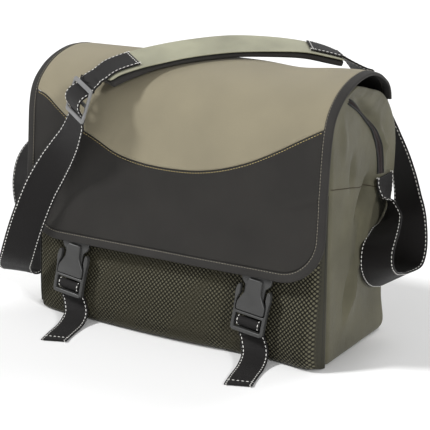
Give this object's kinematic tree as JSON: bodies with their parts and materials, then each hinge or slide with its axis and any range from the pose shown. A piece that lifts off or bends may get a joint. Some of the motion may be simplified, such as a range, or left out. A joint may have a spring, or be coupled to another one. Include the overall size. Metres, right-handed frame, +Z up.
{
  "type": "fishing shoulder bag",
  "caption": "Soft fabric satchel for fishing, with a long front flap held by side-release buckles, a mesh front pocket, a zip over the top and a padded shoulder strap with a slider.",
  "frame": {"origin": "centre of the base of the bag, on the floor", "axes": "+X to the right of the bag seen from the front, the front faces -Y, +Z up"},
  "size_m": [0.4713, 0.2888, 0.3258],
  "materials": {
    "body_cloth": "olive woven cloth",
    "pocket_mesh": "black mesh over dark olive cloth",
    "flap_khaki": "pale khaki coated cloth",
    "flap_charcoal": "charcoal coated cloth",
    "binding": "dark grey woven tape",
    "zip": "black tape with a dark brown coil",
    "pad_cloth": "pale sage woven cloth",
    "pad_base": "dark grey padded cloth",
    "webbing": "black woven webbing with white stitching",
    "slider_plastic": "grey satin plastic",
    "buckle_plastic": "dark grey satin plastic"
  },
  "bodies": {
    "root": {"main_body": "body_cloth", "front_pocket": "pocket_mesh", "flap_upper": "flap_khaki", "flap_lower": "flap_charcoal", "flap_binding": "binding", "zip_chain": "zip", "shoulder_pad_cover": "pad_cloth", "shoulder_pad_base": "pad_base", "shoulder_strap_left": "webbing", "shoulder_strap_right": "webbing", "strap_slider": "slider_plastic", "buckle_socket_left": "buckle_plastic", "buckle_socket_right": "buckle_plastic", "buckle_prong_left": "buckle_plastic", "buckle_prong_right": "buckle_plastic", "flap_strap_left": "webbing", "flap_strap_right": "webbing", "front_strap_left": "webbing", "front_strap_right": "webbing"}
  },
  "joints": []
}
